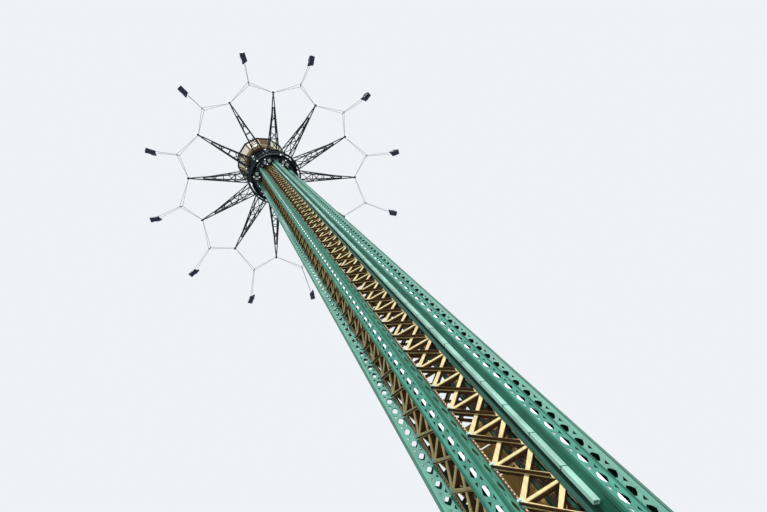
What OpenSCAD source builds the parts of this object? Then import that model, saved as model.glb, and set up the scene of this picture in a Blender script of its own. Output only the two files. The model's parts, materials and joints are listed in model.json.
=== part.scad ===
// Swing tower ride, scale model at one tenth of the real size, in millimetres.
// The origin is the centre of the base on the ground and +Z is up.
// The front lattice face looks along -Y, and the columns stand at 0, 60, ... 300 degrees.

/* [Tower] */
// Number of lattice bays up the shaft
bays = 69; // [20:1:72]
// Height of one lattice bay
bay_h = 140; // [110:5:150]
// Height of the lowest lattice joint above the ground
first_joint = 160; // [120:10:300]
// Distance from the tower axis to the outer face of a column
col_r = 222; // [205:1:228]
// Width of a column across its outer face
col_w = 53; // [40:1:60]
// Depth of a column from its outer to its inner face
col_d = 62; // [50:1:75]
// Thickness of the column plates
col_wall = 2; // [1.5:0.5:4]
// Distance from the tower axis to the middle of a lattice face
face_r = 160; // [150:1:168]

/* [Column lacing] */
// Width of a diamond opening
diamond_w = 20; // [10:1:30]
// Height of a diamond opening
diamond_h = 41; // [20:1:50]
// Diamond openings in one lattice bay
diamonds_per_bay = 2; // [1:1:2]
// Drop from a lattice joint to the centre of the diamond below it
diamond_drop = 13; // [5:1:30]
// Radius of the light tube inside a column
light_r = 4.25; // [2:0.25:6]

/* [Lattice faces] */
// Depth of the lattice bars
lat_t = 3; // [2:0.5:8]
// Width of the diagonal bars
diag_w = 11; // [6:1:16]
// Width of the level bars
level_w = 9; // [5:1:14]
// Width of the upright edge bars
edge_w = 6; // [4:1:10]

/* [Guide rails and hoist] */
// Width of a guide rail tube away from the column
rail_w = 16; // [8:1:18]
// Depth of a guide rail tube
rail_d = 11; // [8:1:20]
// Distance from the tower axis to the outer face of a rail
rail_r = 197; // [190:1:200]
// Height of the open lower end of the rails
rail_low = 1020; // [400:20:1200]
// Radius of a hoist rope
hoist_r = 2; // [1:0.5:4]
// Distance from the tower axis to a pair of hoist ropes
hoist_at = 62; // [50:1:80]

/* [Base and head] */
// Thickness of the base plate
base_t = 30; // [20:1:60]
// Distance from the axis to a corner of the base plate
base_r = 262; // [250:1:300]
// Thickness of the head platform
head_t = 24; // [12:1:40]
// Distance from the axis to a side of the twelve-sided head platform
head_r = 379; // [340:1:400]
// Height of the flared cove below the head platform
cove_h = 400; // [200:10:500]
// Distance from the axis to a side of the cove at its foot
cove_low = 290; // [275:1:310]
// Thickness of the cove plates
cove_t = 5; // [4:0.5:8]
// Radius of the ribs on the corners of the cove
rib_r = 7; // [6:0.5:9]
// Steps of the cornice below the cove
step_n = 3; // [1:1:4]
// Height of one cornice step
step_h = 20; // [10:1:30]
// Inward set of one cornice step from the next
step_in = 12; // [6:1:12]
// Radius of the round hole in the cornice, clear of the columns
cornice_in = 240; // [230:1:245]
// Radius of the head house
house_r = 290; // [180:1:320]
// Height of the head house
house_h = 260; // [150:10:400]
// Height of the domed roof
roof_h = 330; // [200:10:500]
// Radius of the mast on the roof
mast_r = 14; // [6:1:24]
// Overall height of the tower
total_h = 11700; // [11000:50:12000]

/* [Carriage] */
// Height of the arm tips above the ground in the photographed position
ring_z = 7790; // [1200:10:8800]
// Inner radius of the carriage rings
car_r = 236; // [234:1:240]
// Radial width of the carriage rings
car_w = 26; // [18:1:32]
// Height of the carriage rings
car_t = 36; // [20:1:50]
// Radius of a guide roller
roller_r = 7; // [5:0.5:9]
// Height of the slewing race
race_h = 60; // [30:5:100]

/* [Rotor hub] */
// Height of the hub from its lower to its upper ring
hub_h = 330; // [250:10:400]
// Distance from the axis to a side of the twelve-sided hub ring
hub_r = 332; // [324:1:360]
// Width of the hub ring tubes
hub_tube = 14; // [10:1:16]
// Width of the slewing ring beyond the race
slew_lip = 12; // [8:1:16]
// Thickness of the slewing ring's wall
slew_wall = 8; // [5:1:12]
// Running clearance of the slewing race
race_gap = 0.5; // [0.3:0.1:1]

/* [Arms] */
// Number of arms and swings
arm_n = 12; // [6:1:12]
// Turn of the rotor in the photographed position
rotor_turn = -2.8; // [-15:0.1:15]
// Distance from the axis to the end of an arm
tip_r = 1100; // [900:10:1200]
// Width of an arm at its root
arm_root_w = 132; // [80:2:150]
// Width of an arm at its tip
arm_tip_w = 18; // [12:1:30]
// Height of an arm at its tip
arm_tip_h = 16; // [12:1:30]
// Distance from the axis to where an arm narrows to a single boom
boom_at = 890; // [800:5:950]
// Bays of an arm, of which every second one is left open below
arm_bays = 4; // [2:1:6]
// Thickness of the arm bars
arm_bar = 9; // [5:1:10]
// Radius of a tip lamp
lamp_r = 5; // [3:1:8]

/* [Swings] */
// Length from the pivot line to the seat
swing_len = 760; // [500:10:900]
// Angle that the swings fly out from hanging
fly = 35; // [0:1:45]
// Distance from the pivot line to the spreader bar
spreader_at = 290; // [150:10:400]
// Length of the spreader bar
spreader_w = 46; // [30:1:80]
// Radius of the ropes
rope_r = 1.9; // [1:0.1:2.5]
// Distance from the arm end to the pivots
pivot_in = 30; // [20:1:60]
// Radius of a pivot pin
pin_r = 2.5; // [2:0.5:4]
// Width of the double seat
seat_w = 120; // [80:5:140]
// Depth of the double seat
seat_d = 58; // [40:1:80]
// Height of the backrest
back_h = 78; // [50:1:100]
// Thickness of the seat shell
seat_t = 5; // [3:0.5:8]

/* [Fits] */
// Gap where one piece seats on another
seat_gap = 0.3; // [0.1:0.1:0.5]

/* [Hidden] */
$fn = 32;
patina = [0.30, 0.62, 0.50];
dark_steel = [0.06, 0.10, 0.12];
cream_gold = [0.90, 0.78, 0.45];
gold = [0.78, 0.60, 0.22];
rope_grey = [0.75, 0.75, 0.78];
seat_navy = [0.07, 0.09, 0.14];

col_n = 6;
col_step = 360 / col_n;
shaft_top = first_joint + bays * bay_h;
pitch = bay_h / diamonds_per_bay;
rail_cols = [2, 5];
house_z = shaft_top + head_t;
roof_z = house_z + house_h;
head_n = 12;
// Overlap of welded pieces
weld = 4;
cove_z = shaft_top - cove_h;

// A round bar or rope from point a to point b
module round_bar(a, b, r) {
    d = b - a;
    translate(a) rotate([0, acos(d[2] / norm(d)), atan2(d[1], d[0])])
        cylinder(h = norm(d), r = r, $fn = 16);
}

// Outline with n equal sides, given by the distance from its centre to a side
module sided(a, n) {
    rotate(180 / n) circle(r = a / cos(180 / n), $fn = n);
}

// Hexagonal plate with its corners on the column lines
module hex_plate(r, t) {
    cylinder(h = t, r = r, $fn = 6);
}

module base_frame() {
    color(patina) hex_plate(base_r, base_t);
}

// Outline of one diamond opening, long axis upright
function diamond(w, h) = [[-w / 2, 0], [0, -h / 2], [w / 2, 0], [0, h / 2]];

// Box column with diamond openings in its outer face, in its own radial frame
module column() {
    h = shaft_top - base_t;
    difference() {
        translate([col_r - col_d, -col_w / 2, base_t]) cube([col_d, col_w, h]);
        translate([col_r - col_d + col_wall, -col_w / 2 + col_wall, base_t - 1])
            cube([col_d - 2 * col_wall, col_w - 2 * col_wall, h + 2]);
        for (i = [0 : bays * diamonds_per_bay - 2])
            translate([col_r - col_wall - 1, 0, first_joint + (i + 1) * pitch - diamond_drop])
                rotate([90, 0, 90]) linear_extrude(col_wall + 2) polygon(diamond(diamond_w, diamond_h));
    }
}

// Cross-braced face between two columns, in a frame whose +X is the face's outward normal
module lattice_face() {
    half_in = (face_r - lat_t / 2) * tan(col_step / 2) - col_w / 2 / cos(col_step / 2) - seat_gap;
    half_out = half_in + lat_t * tan(col_step / 2);
    h = bays * bay_h;
    inner_w = 2 * (half_in - edge_w);
    rise = atan2(bay_h, inner_w);
    cross_x = diag_w / 2 / sin(rise);
    cross_z = diag_w / 2 / cos(rise);
    translate([face_r - lat_t / 2, 0, first_joint]) rotate([90, 0, 90]) linear_extrude(lat_t) difference() {
        translate([-half_in, -level_w / 2]) square([2 * half_in, h + level_w / 2]);
        for (i = [0 : bays - 1]) translate([0, (i + 0.5) * bay_h]) {
            for (s = [-1, 1]) {
                polygon([[s * inner_w / 2, bay_h / 2 - cross_z * 1.6],
                         [s * cross_x, 0],
                         [s * inner_w / 2, cross_z * 1.6 - bay_h / 2]]);
                polygon([[-inner_w / 2 + cross_x * 1.6, s * (bay_h - level_w) / 2],
                         [0, s * cross_z],
                         [inner_w / 2 - cross_x * 1.6, s * (bay_h - level_w) / 2]]);
            }
        }
    }
    for (s = [0, 1]) mirror([0, s, 0])
        translate([0, 0, first_joint - level_w / 2]) linear_extrude(h + level_w / 2)
            polygon([[face_r - lat_t / 2, half_in - edge_w], [face_r + lat_t / 2, half_in - edge_w],
                     [face_r + lat_t / 2, half_out], [face_r - lat_t / 2, half_in]]);
}

module light_tubes() {
    for (i = [0 : col_n - 1]) rotate([0, 0, i * col_step])
        translate([col_r - col_wall - seat_gap - light_r, 0, base_t])
            color("white") cylinder(h = shaft_top - base_t, r = light_r, $fn = 16);
}

module hoist_ropes() {
    for (i = rail_cols) rotate([0, 0, i * col_step])
        for (s = [-1, 1]) translate([hoist_at, s * 3 * hoist_r, base_t])
            color(rope_grey) cylinder(h = shaft_top - base_t, r = hoist_r, $fn = 16);
}

// Rail tube on the clockwise side of two opposite columns
module guide_rails() {
    for (i = rail_cols) rotate([0, 0, i * col_step])
        translate([rail_r - rail_d, -col_w / 2 - seat_gap - rail_w, rail_low])
            color(patina) cube([rail_d, rail_w, shaft_top - rail_low]);
}

module head_platform() {
    color(patina) translate([0, 0, shaft_top]) linear_extrude(head_t) sided(head_r, head_n);
}

// Flared cove of tilted plates with a rib on each corner, above a stepped cornice
module head_cove() {
    foot_z = cove_z + weld;
    tilt = atan2(head_r - 2 * cove_t - cove_low, shaft_top - foot_z);
    slope = (shaft_top - foot_z - cove_t * sin(tilt) - seat_gap) / cos(tilt);
    cove_high = cove_low + slope * sin(tilt);
    half_low = cove_low * tan(180 / head_n) - rib_r / 3;
    half_high = cove_high * tan(180 / head_n) - rib_r / 3;
    corner = cos(180 / head_n);
    rib_top = shaft_top - seat_gap - rib_r / 4;
    color(cream_gold) {
        for (i = [0 : head_n - 1]) rotate(i * 360 / head_n) {
            translate([cove_low, 0, foot_z]) rotate([0, tilt, 0]) translate([-cove_t, 0, 0])
                rotate([90, 0, 90]) linear_extrude(cove_t)
                    polygon([[-half_low, 0], [half_low, 0], [half_high, slope], [-half_high, slope]]);
            rotate(180 / head_n)
                round_bar([(cove_low - cove_t / 2) / corner, 0, foot_z],
                          [(cove_high - cove_t / 2) / corner, 0, rib_top], rib_r);
        }
        for (k = [0 : step_n - 1]) translate([0, 0, cove_z - k * step_h]) linear_extrude(step_h + 1)
            difference() {
                sided(cove_low + rib_r - k * step_in, head_n);
                circle(r = cornice_in, $fn = 96);
            }
    }
}

module head_house() {
    color(cream_gold) translate([0, 0, house_z]) linear_extrude(house_h) sided(house_r, head_n);
}

module head_roof() {
    neck = mast_r * 2;
    color(gold) translate([0, 0, roof_z]) rotate_extrude($fn = 48) polygon(concat(
        [[0, 0]],
        [for (a = [0 : 10 : 80]) [neck + (house_r - neck) * cos(a), roof_h * 0.8 * sin(a)]],
        [[neck, roof_h], [0, roof_h]]));
}

module mast() {
    color(dark_steel) translate([0, 0, roof_z + roof_h])
        cylinder(h = total_h - roof_z - roof_h, r = mast_r);
}

// Place of the rollers on a rail, as the height of each axle above the carriage's lower edge
roller_z = [car_t / 2, hub_h - car_t / 2];
roller_x = rail_r + seat_gap + roller_r;
roller_y = -col_w / 2 - seat_gap - rail_w / 2;
cheek_w = 6;
cheek_y = roller_y - rail_w / 2 - cheek_w - 2;
axle_r = 3;
race_z = (hub_h - race_h) / 2;
race_r = car_r + 1.9 * car_w;

module ring(r_in, r_out, h) {
    rotate_extrude($fn = 96) translate([r_in, 0]) square([r_out - r_in, h]);
}

module carriage_frame() {
    color(dark_steel) translate([0, 0, ring_z]) difference() {
        union() {
            for (z = [0, hub_h - car_t]) translate([0, 0, z]) ring(car_r, car_r + car_w, car_t);
            translate([0, 0, race_z]) ring(car_r + car_w - weld, race_r, race_h);
            for (i = [0 : col_n - 1]) rotate([0, 0, (i + 0.5) * col_step])
                translate([car_r + weld, -car_w / 2, car_t / 2])
                    cube([car_w - 2 * weld, car_w, hub_h - car_t]);
            for (i = rail_cols, z = roller_z) rotate([0, 0, i * col_step])
                translate([roller_x - 2 * axle_r, cheek_y, z - 2 * axle_r])
                    cube([car_r + 2 * axle_r - roller_x, cheek_w, 4 * axle_r]);
        }
        for (i = rail_cols, z = roller_z) rotate([0, 0, i * col_step])
            translate([roller_x, cheek_y - 1, z]) rotate([-90, 0, 0])
                cylinder(h = cheek_w + 2, r = axle_r + seat_gap);
    }
}

module guide_rollers() {
    for (i = rail_cols, z = roller_z) rotate([0, 0, i * col_step])
        translate([roller_x, 0, ring_z + z]) rotate([-90, 0, 0]) color("dimgray") {
            translate([0, 0, roller_y - rail_w / 2]) cylinder(h = rail_w, r = roller_r);
            translate([0, 0, cheek_y - 2]) cylinder(h = roller_y - cheek_y + 2, r = axle_r);
            translate([0, 0, cheek_y - 4]) cylinder(h = 4 - seat_gap, r = axle_r + 2);
        }
}

slew_in = race_r + race_gap;
slew_out = slew_in + slew_lip + slew_wall;
arm_step = 360 / arm_n;

module slewing_ring() {
    color(dark_steel) translate([0, 0, ring_z]) rotate_extrude($fn = 96) polygon([
        [slew_in, race_z], [slew_in + slew_lip, race_z], [slew_in + slew_lip, 0], [slew_out, 0],
        [slew_out, hub_h], [slew_in + slew_lip, hub_h], [slew_in + slew_lip, race_z + race_h],
        [slew_in, race_z + race_h]]);
}

module hub_frame() {
    corner = cos(arm_step / 2);
    post = hub_tube - 4;
    color(dark_steel) translate([0, 0, ring_z]) rotate(rotor_turn) {
        for (z = [0, hub_h - hub_tube]) translate([0, 0, z]) linear_extrude(hub_tube) {
            difference() {
                sided(hub_r, arm_n);
                sided(hub_r - hub_tube, arm_n);
            }
            for (i = [0 : arm_n - 1]) rotate((i + 0.5) * arm_step)
                translate([slew_out + seat_gap, -hub_tube / 2])
                    square([(hub_r - hub_tube / 2) / corner - slew_out - seat_gap, hub_tube]);
        }
        for (i = [0 : arm_n - 1]) rotate((i + 0.5) * arm_step)
            translate([(hub_r - hub_tube / 2) / corner - post, -post / 2, hub_tube / 2])
                cube([post, post, hub_h - hub_tube]);
    }
}

// Overlap of an arm's bars where they are welded, thickness of its side frames, and length of
// boom inside them
bar_lap = 1;
bar_half = arm_bar * 0.65;
side_t = arm_bar - bar_lap;
boom_lap = 6;

// One arm along +X from the hub ring to its tip: a flat frame below, two braced side frames
// whose tops fall to the boom, level bars between their tops, and the boom with its pins
module arm() {
    x0 = hub_r + seat_gap;
    x1 = boom_at;
    len = x1 - x0;
    function half_w(x) = (arm_root_w + (arm_tip_w - arm_root_w) * (x - x0) / len) / 2;
    function at(i) = x0 + len * (1 - pow(1 - i / arm_bays, 1.15));
    linear_extrude(arm_bar) difference() {
        polygon([[x0, -half_w(x0)], [x1 + bar_lap, bar_lap / 2 - half_w(x1)],
                 [x1 + bar_lap, half_w(x1) - bar_lap / 2], [x0, half_w(x0)]]);
        for (i = [0 : arm_bays - 1]) {
            a = at(i) + arm_bar;
            b = at(i + 1);
            m = (a + b) / 2;
            ha = half_w(a) - arm_bar;
            hb = half_w(b) - arm_bar;
            if (i % 2 == 1) {
                polygon([[a, -ha], [a, ha], [b, max(hb, bar_lap)], [b, -max(hb, bar_lap)]]);
            } else if (hb > 2 * bar_half) {
                polygon([[a, bar_half - ha], [a, ha - bar_half], [m - bar_half, 0]]);
                polygon([[b, bar_half - hb], [b, hb - bar_half], [m + bar_half, 0]]);
                for (s = [-1, 1])
                    polygon([[a + bar_half, s * ha], [b - bar_half, s * hb], [m, s * bar_half]]);
            }
        }
    }
    taper = atan2((arm_root_w - arm_tip_w) / 2, len);
    slant = len / cos(taper);
    function along(i) = (at(i) - x0) / cos(taper);
    function top(u) = hub_h + (arm_tip_h - bar_lap - hub_h) * u / slant;
    for (s = [-1, 1])
        translate([x0, s * (half_w(x0) - arm_bar / 2), 0]) rotate(-s * taper)
            translate([0, side_t / 2, 0]) rotate([90, 0, 0]) linear_extrude(side_t) difference() {
                polygon([[0, side_t], [slant, side_t], [slant, top(slant)], [0, top(0)]]);
                for (i = [0 : arm_bays - 1]) {
                    a = along(i) + arm_bar;
                    b = along(i + 1);
                    z = arm_bar + bar_lap;
                    za = top(a) - arm_bar;
                    zb = top(b) - arm_bar;
                    fall = atan2(za - z, b - a);
                    dx = arm_bar / 2 / sin(fall);
                    dz = arm_bar / 2 / cos(fall);
                    if (za - z > 2 * dz) polygon([[a, z], [b - dx, z], [a, za - dz]]);
                    if (zb - z > 2 * dz) polygon([[a + dx, top(a + dx) - arm_bar], [b, zb], [b, z + dz]]);
                }
            }
    for (i = [0 : arm_bays - 1])
        translate([at(i) + bar_lap, bar_lap - half_w(at(i)), top(along(i)) - 2 * arm_bar])
            cube([arm_bar - 2 * bar_lap, 2 * (half_w(at(i)) - bar_lap), arm_bar]);
    arm_tip(x1 - boom_lap);
}

// Boom with a pin on each side of its end, each along the hinge line of its swing
module arm_tip(x1) {
    px = tip_r - pivot_in;
    translate([x1, -arm_tip_w / 2, 0]) cube([tip_r - x1, arm_tip_w, arm_tip_h]);
    for (s = [-1, 1])
        translate([px, 0, arm_tip_h / 2]) rotate(s * arm_step / 2) rotate([-90 * s, 0, 0]) {
            cylinder(h = eye_at + eye_t + 2 * seat_gap, r = pin_r);
            translate([0, 0, eye_at + eye_t + seat_gap]) cylinder(h = pin_r, r = pin_r + 2);
        }
}

// The eyes of the ropes sit on the pins between the boom and the pin heads
eye_wall = 3;
eye_t = 6;
eye_at = arm_tip_w / 2 / cos(arm_step / 2) + eye_wall;
pivot_r = (tip_r - pivot_in) * cos(arm_step / 2);
pivot_half = (tip_r - pivot_in) * sin(arm_step / 2);

module arms() {
    color(dark_steel) translate([0, 0, ring_z]) rotate(rotor_turn)
        for (i = [0 : arm_n - 1]) rotate(i * arm_step) arm();
}

module tip_lamps() {
    color("white") translate([0, 0, ring_z]) rotate(rotor_turn)
        for (i = [0 : arm_n - 1]) rotate(i * arm_step)
            translate([tip_r - 2 * lamp_r, 0, -seat_gap - lamp_r]) cylinder(h = lamp_r, r = lamp_r);
}

// Frame of swing i: the pivot line is Y, the hanging direction is -Z and +X points outwards
module swing_frame(i) {
    translate([0, 0, ring_z + arm_tip_h / 2]) rotate(rotor_turn + (i - 0.5) * arm_step)
        translate([pivot_r, 0, 0]) rotate([0, -fly, 0]) children();
}

// Distance from the pivot line to the top edge of the seat
seat_top = swing_len - back_h / 2;

module ropes(i) {
    eye_y = pivot_half - eye_at - eye_t / 2;
    color(rope_grey) swing_frame(i) {
        for (s = [-1, 1]) {
            difference() {
                union() {
                    translate([0, s * eye_y, 0]) rotate([90, 0, 0])
                        cylinder(h = eye_t, r = pin_r + eye_wall, center = true);
                    for (e = [-1, 1])
                        round_bar([0, s * eye_y, -pin_r - eye_wall / 2],
                                  [e * spreader_w / 2, 0, -spreader_at], rope_r);
                }
                translate([0, s * eye_y, 0]) rotate([90, 0, 0])
                    cylinder(h = eye_t + 2, r = pin_r + seat_gap, center = true);
            }
            round_bar([s * spreader_w / 2, 0, -spreader_at],
                      [s * (seat_w / 2 - seat_t), 0, 2 * seat_gap - seat_top], rope_r);
        }
        translate([-spreader_w / 2 - 4, 0, -spreader_at]) rotate([0, 90, 0])
            cylinder(h = spreader_w + 8, r = 2.5 * rope_r);
    }
}

// Double seat facing +Y, hung from the tops of its sides
module seat(i) {
    color(seat_navy) swing_frame(i) translate([0, 0, -seat_top - back_h]) {
        difference() {
            translate([-seat_w / 2, -seat_d / 2, 0]) cube([seat_w, seat_d, back_h]);
            translate([-seat_w / 2 + seat_t, -seat_d / 2 + seat_t, seat_t])
                cube([seat_w - 2 * seat_t, seat_d, back_h]);
            for (s = [0, 1]) mirror([s, 0, 0]) translate([seat_w / 2 - seat_t - 1, 0, back_h * 0.45])
                cube([seat_t + 2, seat_d, back_h]);
        }
    }
}

module on_column(i) { color(patina) rotate([0, 0, i * col_step]) column(); }
module on_face(i) { color(cream_gold) rotate([0, 0, (i + 0.5) * col_step]) lattice_face(); }

base_frame();
light_tubes();
hoist_ropes();
guide_rails();
head_platform();
head_house();
head_cove();
head_roof();
mast();
carriage_frame();
guide_rollers();
slewing_ring();
hub_frame();
arms();
tip_lamps();
for (i = [0 : col_n - 1]) on_column(i);
for (i = [0 : col_n - 1]) on_face(i);
for (i = [1 : arm_n]) ropes(i);
for (i = [1 : arm_n]) seat(i);
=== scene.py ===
# %% [markdown]
# # A swing tower ride, as a 1:10 scale model
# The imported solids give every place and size. This script loads them, lays finer steelwork over
# the plain ones, and gives each piece its paint. All lengths are in metres and +Z is up.

# %% Load the frame
import math
import bpy
from mathutils import Matrix, Vector
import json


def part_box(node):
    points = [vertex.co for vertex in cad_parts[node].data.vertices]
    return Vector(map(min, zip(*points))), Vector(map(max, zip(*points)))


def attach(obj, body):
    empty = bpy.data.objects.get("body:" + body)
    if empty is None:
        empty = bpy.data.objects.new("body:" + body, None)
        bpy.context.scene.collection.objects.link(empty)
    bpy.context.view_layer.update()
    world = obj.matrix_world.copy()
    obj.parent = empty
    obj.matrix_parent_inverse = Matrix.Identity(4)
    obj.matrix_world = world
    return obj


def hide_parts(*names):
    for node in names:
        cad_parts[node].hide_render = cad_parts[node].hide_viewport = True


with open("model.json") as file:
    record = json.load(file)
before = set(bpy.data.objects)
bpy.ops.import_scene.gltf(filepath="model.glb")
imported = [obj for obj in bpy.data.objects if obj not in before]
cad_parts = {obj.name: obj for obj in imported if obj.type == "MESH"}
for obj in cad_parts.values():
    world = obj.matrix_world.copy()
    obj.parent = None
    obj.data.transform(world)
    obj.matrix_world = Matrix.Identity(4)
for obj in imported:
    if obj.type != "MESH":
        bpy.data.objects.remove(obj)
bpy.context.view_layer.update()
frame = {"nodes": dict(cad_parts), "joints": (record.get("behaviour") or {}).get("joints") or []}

# %% [markdown]
# Every operator works on what is selected, so a few helpers keep the selection small. Each one is
# an ordinary modelling step: add a block or a rod, pick faces by their place, apply a modifier.

# %% Helpers for picking
def only(*pieces):
    """Selects these pieces and nothing else; the first one becomes active."""
    if bpy.context.object and bpy.context.object.mode != "OBJECT":
        bpy.ops.object.mode_set(mode="OBJECT")
    bpy.ops.object.select_all(action="DESELECT")
    for piece in pieces:
        piece.select_set(True)
    bpy.context.view_layer.objects.active = pieces[0]


def edit_faces(piece, test):
    """Goes into edit mode with only the faces picked whose centre and normal pass the test."""
    only(piece)
    mesh = piece.data
    mesh.vertices.foreach_set("select", [False] * len(mesh.vertices))
    mesh.edges.foreach_set("select", [False] * len(mesh.edges))
    mesh.polygons.foreach_set("select", [bool(test(f.center, f.normal)) for f in mesh.polygons])
    bpy.context.tool_settings.mesh_select_mode = (False, False, True)
    bpy.ops.object.mode_set(mode="EDIT")


def edit_all(piece):
    """Goes into edit mode with everything picked."""
    only(piece)
    bpy.ops.object.mode_set(mode="EDIT")
    bpy.ops.mesh.select_all(action="SELECT")


def done_editing():
    bpy.ops.object.mode_set(mode="OBJECT")


# %% Helpers for placing and finishing a mesh
def apply_place(piece):
    """Moves the piece's place, turn and scale into its mesh."""
    only(piece)
    bpy.ops.object.transform_apply(location=True, rotation=True, scale=True)


def moved(piece, step):
    """Moves a piece and writes the move into its mesh."""
    only(piece)
    bpy.ops.transform.translate(value=step)
    apply_place(piece)
    return piece


def apply_modifier(piece, kind, **settings):
    only(piece)
    modifier = piece.modifiers.new(kind.lower(), kind)
    for key, value in settings.items():
        setattr(modifier, key, value)
    bpy.ops.object.modifier_apply(modifier=modifier.name)


# %% [markdown]
# Nearly every plate starts as a cube and every bar as a cylinder. What repeats is modelled once and
# copied. Each copy gets its own mesh with its place written into it, because the paint follows the
# mesh, and the model is cleared away when its copies stand.

# %% Helpers for blanks
def block(name, low, high):
    """A block between two corners, the blank that most plates start from."""
    low, high = Vector(low), Vector(high)
    bpy.ops.object.select_all(action="DESELECT")
    bpy.ops.mesh.primitive_cube_add(size=1, location=(low + high) / 2)
    piece = bpy.context.object
    piece.name = name
    piece.scale = high - low
    apply_place(piece)
    return piece


def rod(name, start, end, radius, sides=12):
    """A round bar between two points."""
    start, end = Vector(start), Vector(end)
    bpy.ops.object.select_all(action="DESELECT")
    bpy.ops.mesh.primitive_cylinder_add(vertices=sides, radius=radius, depth=(end - start).length,
                                        location=(start + end) / 2)
    piece = bpy.context.object
    piece.name = name
    piece.rotation_euler = (end - start).to_track_quat("Z", "X").to_euler()
    apply_place(piece)
    return piece


# %% Helpers for copies, rows and holes
def copy_of(piece, name, turn=0.0):
    """A copy with its own mesh, turned about the tower's axis."""
    only(piece)
    bpy.ops.object.duplicate(linked=False)
    twin = bpy.context.object
    twin.name = name
    twin.matrix_world = Matrix.Rotation(turn, 4, "Z")
    apply_place(twin)
    return twin


def clear_away(*models):
    """Removes models whose copies are in place."""
    for model in models:
        bpy.data.objects.remove(model)


def joined(name, pieces):
    """One object from several, named for what it is."""
    only(*pieces)
    if len(pieces) > 1:
        bpy.ops.object.join()
    piece = bpy.context.object
    piece.name = name
    return piece


def repeated(piece, count, step):
    """A row of copies a step apart, welded where they meet."""
    apply_modifier(piece, "ARRAY", count=count, use_relative_offset=False, use_constant_offset=True,
                   constant_offset_displace=step, use_merge_vertices=True, merge_threshold=1e-5)
    return piece


def cut(piece, cutters):
    """Cuts holes in the piece and clears the cutters away."""
    tool = joined("cutter", cutters)
    apply_modifier(piece, "BOOLEAN", operation="DIFFERENCE", object=tool, solver="EXACT")
    clear_away(tool)


# %% [markdown]
# The driving sizes are the real ones at a tenth. Where a solid already holds a size, it is read
# from the frame instead of being written again.

# %% Sizes
MM = 0.001
column_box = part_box("column_0")
column_in, column_out = column_box[0].x, column_box[1].x
column_half = column_box[1].y
foot_z, head_z = column_box[0].z, column_box[1].z
face_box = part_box("lattice_90")
face_plane = face_box[1].y
level_bar_half = 4.5 * MM
bays = 69
first_joint = face_box[0].z + level_bar_half
bay = (face_box[1].z - first_joint) / bays
pitch = bay / 2
corner_turn = math.radians(60)
half_side = math.radians(30)
rail_columns = (2, 5)
print("bay", round(bay, 4), "column", round(column_in, 4), "to", round(column_out, 4))

# %% [markdown]
# ## Finishes
# Paint on steelwork outdoors is never one flat colour. Each finish starts from one colour and gets
# cloudy patches, thin streaks that rain leaves down the steel, a change of gloss, and a fine bump.
# The patterns use Object coordinates, because every mesh keeps its real place.

# %% One paint recipe
cloud_scale, cloud_edges = 14.0, (0.3, 0.72)
streak_scale, streak_edges = (160, 160, 7), (0.35, 0.6)
bump_depth = 0.3 * MM
paint_specular = 0.25


def paint(name, colour, rough=0.45, metal=0.0, spread=0.2, streak=0.25, bump=0.06, grain=900.0):
    """A finish whose colour varies by spread in clouds and by streak where the rain ran down."""
    material = bpy.data.materials.new(name)
    material.use_nodes = True
    nodes, links = material.node_tree.nodes, material.node_tree.links
    shader = nodes["Principled BSDF"]
    place = nodes.new("ShaderNodeTexCoord")
    clouds = nodes.new("ShaderNodeTexNoise")
    clouds.inputs["Scale"].default_value = cloud_scale
    clouds.inputs["Detail"].default_value = 6.0
    tones = nodes.new("ShaderNodeValToRGB")
    for stop, level in ((0, 1 - spread), (1, 1 + spread * 0.6)):
        tones.color_ramp.elements[stop].position = cloud_edges[stop]
        tones.color_ramp.elements[stop].color = [min(c * level, 1) for c in colour] + [1]
    stretch = nodes.new("ShaderNodeMapping")
    stretch.inputs["Scale"].default_value = streak_scale
    rain = nodes.new("ShaderNodeTexNoise")
    rain.inputs["Scale"].default_value = 1.0
    rain.inputs["Detail"].default_value = 3.0
    marks = nodes.new("ShaderNodeValToRGB")
    for stop, level in ((0, 1 - streak), (1, 1)):
        marks.color_ramp.elements[stop].position = streak_edges[stop]
        marks.color_ramp.elements[stop].color = [level] * 3 + [1]
    blend = nodes.new("ShaderNodeMix")
    blend.data_type = "RGBA"
    blend.blend_type = "MULTIPLY"
    blend.inputs[0].default_value = 1.0
    gloss = nodes.new("ShaderNodeMapRange")
    gloss.inputs["To Min"].default_value = rough * 0.8
    gloss.inputs["To Max"].default_value = min(rough * 1.3, 1)
    fine = nodes.new("ShaderNodeTexNoise")
    fine.inputs["Scale"].default_value = grain
    relief = nodes.new("ShaderNodeBump")
    relief.inputs["Strength"].default_value = bump
    relief.inputs["Distance"].default_value = bump_depth
    for a, b in ((place.outputs["Object"], clouds.inputs["Vector"]),
                 (place.outputs["Object"], stretch.inputs["Vector"]),
                 (place.outputs["Object"], fine.inputs["Vector"]),
                 (stretch.outputs["Vector"], rain.inputs["Vector"]),
                 (clouds.outputs["Fac"], tones.inputs["Fac"]),
                 (rain.outputs["Fac"], marks.inputs["Fac"]),
                 (tones.outputs["Color"], blend.inputs[6]),
                 (marks.outputs["Color"], blend.inputs[7]),
                 (blend.outputs[2], shader.inputs["Base Color"]),
                 (clouds.outputs["Fac"], gloss.inputs["Value"]),
                 (gloss.outputs["Result"], shader.inputs["Roughness"]),
                 (fine.outputs["Fac"], relief.inputs["Height"]),
                 (relief.outputs["Normal"], shader.inputs["Normal"])):
        links.new(a, b)
    shader.inputs["Metallic"].default_value = metal
    shader.inputs["Specular IOR Level"].default_value = paint_specular
    return material


# %% [markdown]
# The columns are patina green, the lattice cream, and the carriage and the hub nearly black. Brown
# is for steel that stays in the shade. The tubes and lamps are white and also give off a little
# light, because a lamp in the shade would otherwise turn grey.

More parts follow.
